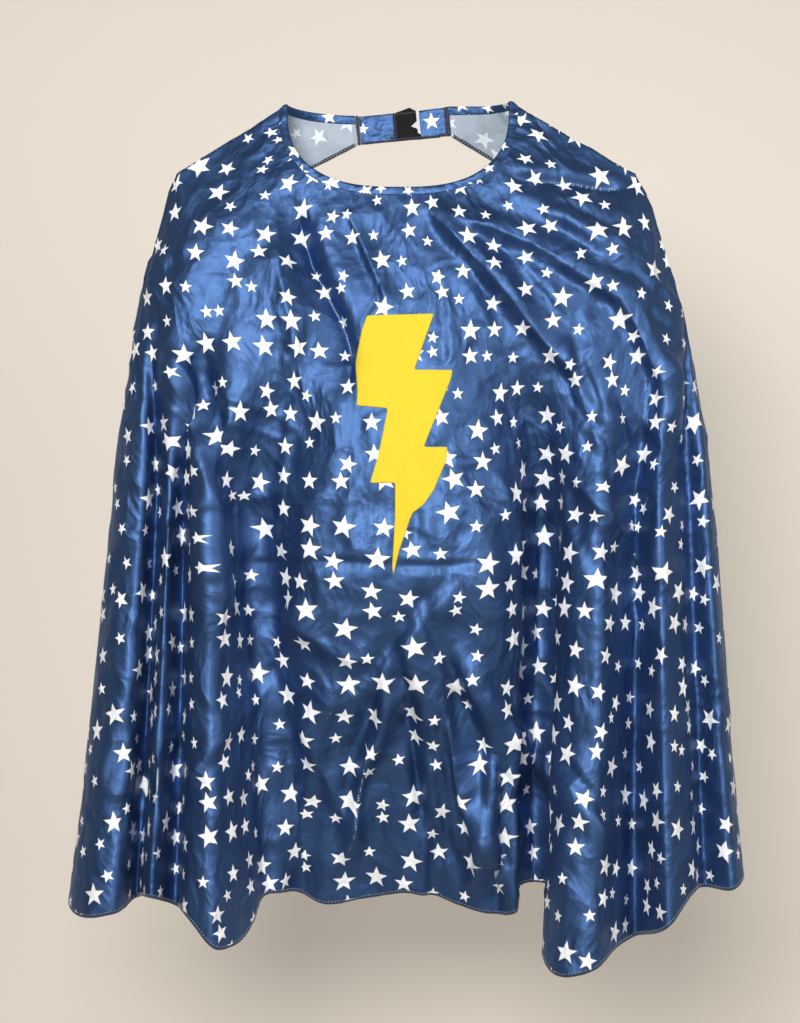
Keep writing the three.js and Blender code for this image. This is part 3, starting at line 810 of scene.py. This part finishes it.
# ---- threads
def resampled(points, step, *others):
    """A line of points, and what goes with them, at even steps."""
    at = along(points)
    count = max(2, int(round(at[-1] / step)) + 1)
    places = np.linspace(0, at[-1], count)
    return (places, *(sampled(places, at, values) for values in (points, *others)))


def unit(vectors):
    return vectors / np.maximum(np.linalg.norm(vectors, axis=-1, keepdims=True), 1e-9)


def ring_faces(rings, around, closed=False):
    faces = []
    for r in range(rings if closed else rings - 1):
        a, b = r * around, ((r + 1) % rings) * around
        for k in range(around):
            j = (k + 1) % around
            faces.append((a + k, a + j, b + j, b + k))
    return faces


def overlock(name, points, inward, normals, depth, thickness, body, node, seed):
    """Thread loops wrapped over an edge of the cloth: a flat tube with slanted ridges."""
    inward, normals = (np.broadcast_to(v, points.shape) for v in (inward, normals))
    places, line, inward, normals = resampled(points, THREAD_PITCH / 4, inward, normals)
    inward, normals = unit(inward), unit(normals)
    around = 8
    angle = np.arange(around) / around * 2 * np.pi
    dice = np.random.default_rng(seed)
    knots = np.arange(0, places[-1] + 9, 6)
    wander = np.interp(places, knots, dice.uniform(-1, 1, len(knots)))[:, None]
    phase = places[:, None] / THREAD_PITCH * 2 * np.pi + 1.2 * np.cos(angle) + 0.8 * wander
    size = 1 + 0.20 * np.cos(phase)
    a = (depth / 2) * (1 + 0.12 * wander) * size
    b = (thickness / 2) * size
    middle = line + inward * (depth / 2 - 0.5)
    verts = (
        middle[:, None]
        - inward[:, None] * (a * np.cos(angle))[..., None]
        + normals[:, None] * (b * np.sin(angle))[..., None]
    )
    count = len(places)
    faces = ring_faces(count, around)
    faces.append(tuple(range(around)))
    faces.append(tuple(range((count - 1) * around, count * around))[::-1])
    uvs = np.stack(np.broadcast_arrays(places[:, None], np.cos(angle)[None] * depth / 2), axis=2)
    obj = new_object(name, verts.reshape(-1, 3) * MM, faces, uvs.reshape(-1, 2) * MM)
    fasten(obj, THREADS["navy"], body, "navy_thread", node)


def stitches(name, points, normals, size, colour, body, *nodes, weave=0.0):
    """A row of sewn stitches, each a small capsule of a length, gap and width; weave zigzags it."""
    length, gap, width = size
    normals = np.broadcast_to(normals, points.shape)
    places, line, up = resampled(points, (length + gap) / 2, normals)
    verts, faces = [], []
    rings = ((-0.5, 0.15), (-0.42, 0.75), (-0.2, 1.0), (0.2, 1.0), (0.42, 0.75), (0.5, 0.15))
    around = 6
    angle = np.arange(around) / around * 2 * np.pi
    for k in range(1, len(places) - 1, 2):
        ahead = unit(line[k + 1] - line[k - 1])
        normal = unit(up[k])
        side = unit(np.cross(normal, ahead))
        slant = weave if (k // 2) % 2 else -weave
        axis = unit(ahead + side * slant)
        across = np.cross(normal, axis)
        start = len(verts)
        for place, share in rings:
            sink = 0.5 * width * (1 - share)
            centre = line[k] + axis * place * length - normal * sink
            for t in angle:
                out = across * np.cos(t) + normal * np.sin(t)
                verts.append(centre + out * share * width / 2)
        faces += [tuple(start + i for i in f) for f in ring_faces(len(rings), around)]
        faces.append(tuple(start + i for i in range(around))[::-1])
        faces.append(tuple(start + (len(rings) - 1) * around + i for i in range(around)))
    verts = np.array(verts)
    obj = new_object(name, verts * MM, faces, verts[:, [0, 2]] * MM)
    fasten(obj, THREADS[colour], body, "navy_thread", *nodes)


# ---- trims
def column_samples(depths):
    """Points and normals of the cloth at distances below the neck edge, for every column."""
    top = GRID[:BINDING_ROWS]
    normals = normals_of(GRID)[:BINDING_ROWS]
    points, facing = [], []
    for column in range(GRID.shape[1]):
        at = along(top[:, column])
        points.append(sampled(depths, at, top[:, column]))
        facing.append(sampled(depths, at, normals[:, column]))
    return np.stack(points, axis=1), unit(np.stack(facing, axis=1))


def add_binding():
    """A folded strip of the same satin, sewn over the neck edge."""
    deep = BINDING_DEPTH
    section = [  # distance below the edge, height above the cloth's middle
        (deep, 0.30), (deep - 0.3, 0.75), (deep - 1.2, 0.95), (5.2, 1.25), (3.6, 1.6),
        (2.0, 1.65), (0.7, 1.45), (-0.1, 1.05), (-0.6, 0.4), (-0.6, -0.4), (-0.1, -1.05),
        (0.7, -1.35), (2.0, -1.5), (3.6, -1.45), (5.2, -1.15), (deep - 1.2, -0.9),
        (deep - 0.3, -0.7), (deep, -0.30),
    ]
    tip = 8  # the section's first point beyond the edge
    below, heights = np.array(section).T
    depths, beyond = np.maximum(0.0, below), np.maximum(0.0, -below)
    points, normals = column_samples(depths)
    edge_out = unit(points[tip] - points[0])
    count = GRID.shape[1]
    columns = np.linspace(0, count - 1, count * 3)  # three times as fine as the cloth

    def finer(lines):
        return np.stack([sampled(columns, np.arange(count), line) for line in lines])

    points, normals = finer(points), unit(finer(normals))
    edge_out = finer(edge_out[None])[0]
    run, down = along(points[0])[None], depths[:, None]
    seam = np.clip(np.abs(heights) - 0.5, 0, None)[:, None]
    pucker = 0.35 * lattice_noise(run + down, down * 2, 5.5, 61)
    pucker = pucker + 0.25 * lattice_noise(run - 1.5 * down, down, 2.6, 62)
    lift = heights[:, None] + np.sign(heights)[:, None] * pucker * seam
    outer = points + normals * lift[..., None] + edge_out[None] * beyond[:, None, None]
    inner = points + normals * (np.sign(heights) * 0.28)[:, None, None]
    across = along(np.stack([depths, heights], axis=1))[:, None]
    uv = np.stack(np.broadcast_arrays(run + 11.0, -across + 230.0), axis=2)
    obj = shell("neck_binding_strip", outer, inner, uv)
    fasten(obj, SATIN["print"], "drape", "printed_satin", "neck_binding")
    stitches("neck_stitches", outer[1], normals[2], (2.3, 0.9, 0.55), "navy", "drape",
             "neck_topstitch")


def into_cloth(edge, inner, normals):
    """Square to an edge, and towards the inside of the cloth."""
    square = unit(np.cross(normals, np.gradient(edge, axis=0)))
    return square * np.sign(np.sum(square * (inner - edge), axis=1, keepdims=True))


def add_edges():
    """The overlocked hem, and the two free edges at the open back."""
    normals = normals_of(GRID)
    seam_row = int(YOKE_ROWS * SEAM_SHARE) + 1
    hem, up = GRID[-1], normals[-1]
    hem_in = into_cloth(hem, GRID[-3], up)
    overlock("hem_thread", hem, hem_in, up, OVERLOCK_DEPTH, 1.25, "drape", "hem_overlock", 1)
    for side, name in ((1, "hem_pale_stitches"), (-1, "hem_pale_stitches_inside")):
        line = hem + hem_in * 2.4 + up * side * 0.42
        stitches(name, line, up * side, (1.7, 1.5, 0.4), "pale", "drape")
    for column, inner, side, seed in ((0, 2, "left", 2), (-1, -3, "right", 3)):
        edge, facing = GRID[seam_row:, column], normals[seam_row:, column]
        inward = into_cloth(edge, GRID[seam_row:, inner], facing)
        overlock(f"{side}_edge_thread", edge, inward, facing, EDGE_OVERLOCK_DEPTH, 1.5, "drape",
                 f"{side}_edge_overlock", seed)
        line = edge + inward * EDGE_OVERLOCK_DEPTH * 0.42 - facing * 1.0
        stitches(f"{side}_edge_pale_stitches", line, -facing, (1.4, 1.6, 0.75), "pale", "drape")


# ---- the bolt
def rounded_outline(corners, radius, step):
    """The polygon with its corners rounded, as evenly spaced points."""
    corners = np.array(corners, dtype=float)
    out = []
    for k, corner in enumerate(corners):
        before, after = corners[k - 1] - corner, corners[(k + 1) % len(corners)] - corner
        reach = min(radius, 0.4 * np.linalg.norm(before), 0.4 * np.linalg.norm(after))
        start = corner + unit(before) * reach
        end = corner + unit(after) * reach
        for t in np.linspace(0, 1, 5):
            out.append((1 - t) ** 2 * start + 2 * t * (1 - t) * corner + t**2 * end)
    return resampled(np.array(out + [out[0]]), step)[1][:-1]


def layer_on_panel(name, low, high, edge, material, slot, node):
    """A flat shape laid on the front of the panel, between two heights above it."""
    rim = rounded_outline(BOLT, 1.6, 1.3)
    x = np.arange(-42, 50, 2.6)
    z = np.arange(-434, -194, 2.6)
    fill = np.array([(a + (j % 2) * 1.3, b) for j, b in enumerate(z) for a in x])
    fill = fill[depth_outside(fill, rim) < -2.6]
    along_rim = np.roll(rim, -1, axis=0) - np.roll(rim, 1, axis=0)
    inward = unit(np.stack([along_rim[:, 1], -along_rim[:, 0]], axis=1))
    rings = [rim]
    for reach in (0.45, 1.3):
        moved = rim + inward * reach
        rings.append(moved[depth_outside(moved, rim) < -0.85 * reach])
    edges = [(k, (k + 1) % len(rim)) for k in range(len(rim))]
    points, _, triangles, _, _, _ = geometry.delaunay_2d_cdt(
        [Vector(p) for p in np.concatenate(rings + [fill])], edges, [], 1, 1e-5
    )
    flat = np.array([tuple(p) for p in points])
    base = np.empty((len(flat), 3))
    facing = np.empty((len(flat), 3))
    for k, (px, pz) in enumerate(flat):
        around = []
        for dx, dz in ((0, 0), (5, 0), (-5, 0), (0, 5), (0, -5)):
            hit = PANEL_TREE.ray_cast(Vector((px + dx, -400, pz + dz)), Vector((0, 1, 0)))[0]
            around.append(hit.y)
        across = (around[1] - around[2]) / 10
        upward = (around[3] - around[4]) / 10
        level_y = min(around[0], 0.5 * around[0] + 0.125 * sum(around[1:]))
        base[k] = (px, level_y, pz)
        facing[k] = unit(np.array([across, -1, upward]))
    rise = np.clip(-depth_outside(flat, rim) / edge, 0, 1)
    top = lerp(low + 0.35 * (high - low), high, np.sqrt(1 - (1 - rise) ** 2))
    soft = 0.35 * lattice_noise(flat[:, 0], flat[:, 1], 17, 71) * rise
    upper = base + facing * (top + soft * (high - low))[:, None]
    lower = base + facing * low
    count = len(flat)
    top_faces = []
    border = {}
    for t in triangles:
        a, b, c = flat[list(t)]
        turned = (b[0] - a[0]) * (c[1] - a[1]) - (b[1] - a[1]) * (c[0] - a[0])
        t = tuple(t) if turned > 0 else tuple(t)[::-1]
        top_faces.append(t)
        for i in range(3):
            border[(t[i], t[(i + 1) % 3])] = True
    faces = top_faces + [tuple(i + count for i in t[::-1]) for t in top_faces]
    faces += [(b, a, a + count, b + count) for a, b in border if (b, a) not in border]
    verts = np.concatenate([upper, lower]) * MM
    obj = new_object(name, verts, faces, np.concatenate([flat, flat]) * MM)
    fasten(obj, material, "drape", slot, node)


# ---- the strap
def on_strap(points):
    """From the strap's own frame to the cape's."""
    lean_x, lean_z = math.cos(STRAP_TILT), math.sin(STRAP_TILT)
    x, y, z = points[..., 0], points[..., 1], points[..., 2]
    return np.stack([
        STRAP_ORIGIN[0] + x * lean_x - z * lean_z,
        STRAP_ORIGIN[1] + y,
        STRAP_ORIGIN[2] + x * lean_z + z * lean_x,
    ], axis=-1)


def pad(name, place, top, bottom, thickness, look, body, *nodes, seed, puff=0.0, wrinkle=0.0,
        calm_back=False, uv_shift=(0, 0), edge=1.2):
    """A flat soft strip in the strap's frame, between two ends at a depth: its place.

    top and bottom are heights at its ends, and look is its material and slot.
    """
    first, last, y_mid = place
    s = np.linspace(0, 1, 90)[None]
    t = np.linspace(0, 1, 40)[:, None]
    x = lerp(first, last, s) + 0 * t
    ripple = 0.5 * lattice_noise(x, 0 * x, 9, seed + 3)
    top_line = np.interp(s, np.linspace(0, 1, len(top)), top)
    z = lerp(top_line, bottom[0] + (bottom[1] - bottom[0]) * s, t)
    z = z + ripple * (1 - 2 * t) * 0.8
    width, height = abs(last - first), abs(top[0] - bottom[0])
    rim = np.minimum(np.minimum(s, 1 - s) * width, np.minimum(t, 1 - t) * height)
    full = np.sqrt(1 - (1 - np.clip(rim / edge, 0, 1)) ** 2)
    half = (thickness / 2) * (0.35 + 0.65 * full)
    swell = puff * np.sqrt(np.clip(4 * t * (1 - t), 0, 1)) * full
    folds = lattice_noise(x * 0.8 + z * 0.5, z, 7, seed)
    folds = wrinkle * full * (folds + 0.5 * lattice_noise(x - z, z * 1.4, 3.4, seed + 1))
    front_y = y_mid - half - (swell + folds)
    back_y = y_mid + half + (swell + folds) * (0.1 if calm_back else 1)
    uv = np.stack([x + uv_shift[0], z + uv_shift[1]], axis=2)
    front, back = (on_strap(np.stack([x, y, z], axis=2)) for y in (front_y, back_y))
    material, slot = look
    fasten(shell(name, front, back, uv), material, body, slot, *nodes)


def strap_line(x, y, z):
    """Points given in the strap's frame; a single number stands for all of them."""
    return on_strap(np.stack(np.broadcast_arrays(x, y, z), axis=1).astype(float))


def add_star_tip():
    """The tip of a printed star, showing white beside the short tab's end."""
    corner = np.array([
        (14.3, 0, 3.6), (7.8, 0, -1.4), (14.0, 0, -4.6), (11.2, 0, 1.4), (11.0, 0, -2.8),
    ])
    layers = [on_strap(corner + (0, SHORT_TAB[2] + y, 0)) for y in (-0.85, -0.35)]
    faces = [
        (0, 3, 4, 2), (3, 1, 4), (7, 9, 8, 5), (8, 9, 6),
        (0, 5, 8, 3), (3, 8, 6, 1), (1, 6, 9, 4), (4, 9, 7, 2), (2, 7, 5, 0),
    ]
    uvs = np.concatenate([corner[:, [0, 2]]] * 2) * MM
    tip = new_object("short_tab_star_tip", np.concatenate(layers) * MM, faces, uvs, smooth=False)
    fasten(tip, SATIN["white"], "short_tab", "printed_satin")


def add_tab_cloths():
    """The two tabs, their tapes, and the short tab's turned-under end, white: partly star print,
    partly a painted highlight along its fold.
    """
    half = STRAP_HEIGHT / 2
    cloth, white = (SATIN["print"], "printed_satin"), (SATIN["white"], "printed_satin")
    black = (TAPE, "black_tape")
    pad("long_tab_cloth", LONG_TAB, (half - 0.6, half + 0.4), (-half + 1.2, -half + 0.8),
        TAB_THICKNESS, cloth, "long_tab", "left_tab",
        seed=101, puff=0.7, wrinkle=0.42, uv_shift=LONG_PRINT_SHIFT)
    pad("short_tab_cloth", SHORT_TAB, (half - 1.4, half + 0.2), (-half + 0.8, -half + 1.4),
        TAB_THICKNESS, cloth, "short_tab", "right_tab",
        seed=131, puff=0.7, wrinkle=0.36, calm_back=True, uv_shift=SHORT_PRINT_SHIFT)
    pad("loop_tape", (*LOOP_PATCH[:2], LOOP_PATCH[2] - 0.45),
        (half - 0.9, half + 0.9, half + 3.4, half - 1.6, half - 2, half - 2),
        (-half + 1.4, -half + 1.0), PATCH_THICKNESS, black, "long_tab", "loop_patch",
        seed=151, puff=0.15, wrinkle=0.18, edge=0.8)
    pad("hook_tape", (*HOOK_PATCH[:2], HOOK_PATCH[2] + 0.1),
        (half - 3.2, half - 3.0), (-half + 3.2, -half + 3.0),
        PATCH_THICKNESS * 0.8, black, "short_tab", "hook_patch",
        seed=171, wrinkle=0.1, edge=0.8)
    # The turned end's white strip is partly star print and partly a painted highlight along the
    # fold.
    pad("short_tab_turned_end_print_and_highlight", (13.4, 16.3, SHORT_TAB[2] - 0.35),
        (half + 2.0, half + 0.4), (-half + 5.6, -half + 3.6), 0.7, white, "short_tab",
        seed=181, puff=0.2, wrinkle=0.1, edge=0.6)


def add_strap():
    """The closed strap: its tabs and tapes, their overlocks, seams and stitching."""
    half = STRAP_HEIGHT / 2
    sideways, upward = on_strap(np.eye(3)[[0, 2]]) - on_strap(np.zeros(3))
    forward = np.array([0.0, -1, 0])
    add_tab_cloths()
    add_star_tip()
    for side, body, tab, seed in (("left", "long_tab", LONG_TAB, 5),
                                  ("right", "short_tab", SHORT_TAB, 6)):
        line = strap_line(np.linspace(tab[0] + 0.3, tab[1] - 0.3, 40), tab[2], -half + 0.5)
        overlock(f"{body}_thread", line, upward, forward, 2.2, 1.7, body,
                 f"{side}_tab_overlock", seed)
    for side, place, y_mid, width, seed in (("left", -41.7, LONG_TAB[2], 3.2, 7),
                                            ("right", 42.2, SHORT_TAB[2], 5.0, 8)):
        name, z = f"{side}_seam_thread", np.linspace(half, -half, 30)
        overlock(name, strap_line(place - width / 2 + 0.5, y_mid, z), sideways, forward,
                 width, 3.3, "drape", f"{side}_tab_seam", seed)
        stitches(name + "_pale", strap_line(place, y_mid - 1.75, z * 0.94), forward,
                 (1.9, 0.5, 0.4), "grey", "drape", weave=1.2)
    add_patch_stitching("loop", LOOP_PATCH, -1.15, half - 1.8, "long_tab")
    add_patch_stitching("hook", HOOK_PATCH, 0.6, half - 4.4, "short_tab")
    line = strap_line(np.linspace(-19.5, -10.5, 20), LONG_TAB[2] - 1.35, -half + 2.6)
    stitches("long_tab_pale_stitches", line, forward, (2.4, 0.2, 0.5), "pale", "long_tab",
             weave=1.4)


def add_patch_stitching(kind, patch, offset, reach, body):
    """A zigzag sewn round a tape patch, just inside its edge."""
    first, last = patch[0] + 1.6, patch[1] - 1.6
    corners = strap_line(
        [first, last, last, first, first], patch[2] + offset, [reach, reach, -reach, -reach, reach]
    )
    stitches(f"{kind}_stitches", resampled(corners, 1.0)[1], (0.0, math.copysign(1, offset), 0),
             (2.0, 0.15, 0.38), "grey", body, f"{kind}_patch_stitching", weave=0.9)


# ---- scene
def add_light(name, place, target, size, power, colour, spread):
    data = bpy.data.lights.new(name, "AREA")
    data.spread = math.radians(spread)
    data.shape = "RECTANGLE"
    data.size, data.size_y = size
    data.energy = power
    data.color = colour
    obj = bpy.data.objects.new(name, data)
    bpy.context.collection.objects.link(obj)
    obj.location = place
    obj.rotation_euler = (Vector(target) - Vector(place)).to_track_quat("-Z", "Y").to_euler()


def add_camera():
    """Level with the cape's middle and square to its printed panel."""
    data = bpy.data.cameras.new("camera")
    obj = bpy.data.objects.new("camera", data)
    bpy.context.collection.objects.link(obj)
    distance, view_height = 2.3, 0.941
    data.sensor_fit = "VERTICAL"
    data.sensor_height = 24
    data.lens = data.sensor_height * distance / view_height
    obj.location = (0, -distance, -0.374)
    obj.rotation_euler = (math.pi / 2, 0, 0)
    bpy.context.scene.camera = obj


def add_stage():
    """A pale floor, and a pale backdrop that can be seen from the front only."""
    low, high, reach, back = -1.25, 2.5, 4, 0.55
    floor = new_object(
        "floor", [(-reach, -reach, low), (reach, -reach, low), (reach, reach, low),
                  (-reach, reach, low)], [(0, 1, 2, 3)], smooth=False)
    n = Nodes("pale_floor")
    n.set(Base_Color=(0.58, 0.55, 0.51, 1), Roughness=0.9)
    floor.data.materials.append(n.material)
    wall = new_object(
        "wall", [(-reach, back, low), (reach, back, low), (reach, back, high),
                 (-reach, back, high)], [(0, 1, 2, 3)], smooth=False)
    n = Nodes("pale_wall")
    n.set(Base_Color=(0.52, 0.475, 0.42, 1), Roughness=0.85)
    n.set(Emission_Color=(1.0, 0.92, 0.80, 1), Emission_Strength=0.22)
    clear = n.add("ShaderNodeBsdfTransparent").outputs[0]
    behind = n.add("ShaderNodeNewGeometry").outputs["Backfacing"]
    blend = n.add("ShaderNodeMixShader", {0: behind, 1: n.shader.outputs[0], 2: clear})
    n.put(n.tree.nodes["Material Output"].inputs["Surface"], blend.outputs[0])
    wall.data.materials.append(n.material)


def add_world():
    world = bpy.data.worlds.new("studio")
    world.use_nodes = True
    back = world.node_tree.nodes["Background"]
    back.inputs["Color"].default_value = (0.70, 0.74, 0.82, 1)
    back.inputs["Strength"].default_value = 0.08
    bpy.context.scene.world = world
    bpy.context.scene.view_settings.view_transform = "Standard"


def add_lights():
    """A soft key in front, and a weaker fill from the right."""
    add_light("key", (-0.50, -3.0, 0.50), (0.05, 0, -0.28), (1.5, 1.0), 26, (1.0, 0.985, 0.97), 80)
    add_light("fill", (2.2, -2.0, 0.2), (0.15, 0, -0.5), (1.2, 1.6), 10, (1.0, 0.97, 0.94), 100)


def add_panel():
    """The cape's cloth: its middle surface, the piece, and its places on the flat cloth."""
    plain = push_panel_out(fit_outline(make_drape()))
    uv = cut_coordinates(plain)
    grid = add_creases(plain, uv)
    panel = cloth_object("satin_panel", grid, uv, SATIN_THICKNESS)
    panel.data.materials.append(SATIN["print"])
    panel.data.materials.append(SATIN["reverse"])
    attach(panel, "drape")
    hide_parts("cape_panel")
    return grid, panel, uv


SATIN = {
    "print": satin("printed_satin"),
    "reverse": satin("satin_reverse", reverse=True),
    "white": thread("white_print", (0.72, 0.74, 0.76), 500.0),
}
THREADS = {
    "navy": thread("navy_thread", (0.022, 0.034, 0.070)),
    "pale": thread("pale_thread", (0.60, 0.64, 0.66)),
    "grey": thread("grey_thread", (0.20, 0.22, 0.25)),
}
TAPE = tape()

add_camera()
add_world()
add_lights()
add_stage()
GRID, PANEL, FLAT = add_panel()
PANEL_TREE = BVHTree.FromPolygons(
    [Vector(p) for p in GRID.reshape(-1, 3)], grid_faces(*GRID.shape[:2])
)
add_binding()
add_edges()
film_low = SATIN_THICKNESS / 2 + 0.05
felt_low = SATIN_THICKNESS / 2 + FILM_THICKNESS + 0.1
layer_on_panel("bolt_film", film_low, film_low + FILM_THICKNESS, 0.3,
               film(), "bonding_film", "bolt_bond_film")
layer_on_panel("felt_bolt", felt_low, felt_low + FELT_THICKNESS, 1.4,
               felt(), "yellow_felt", "lightning_bolt")
add_strap()
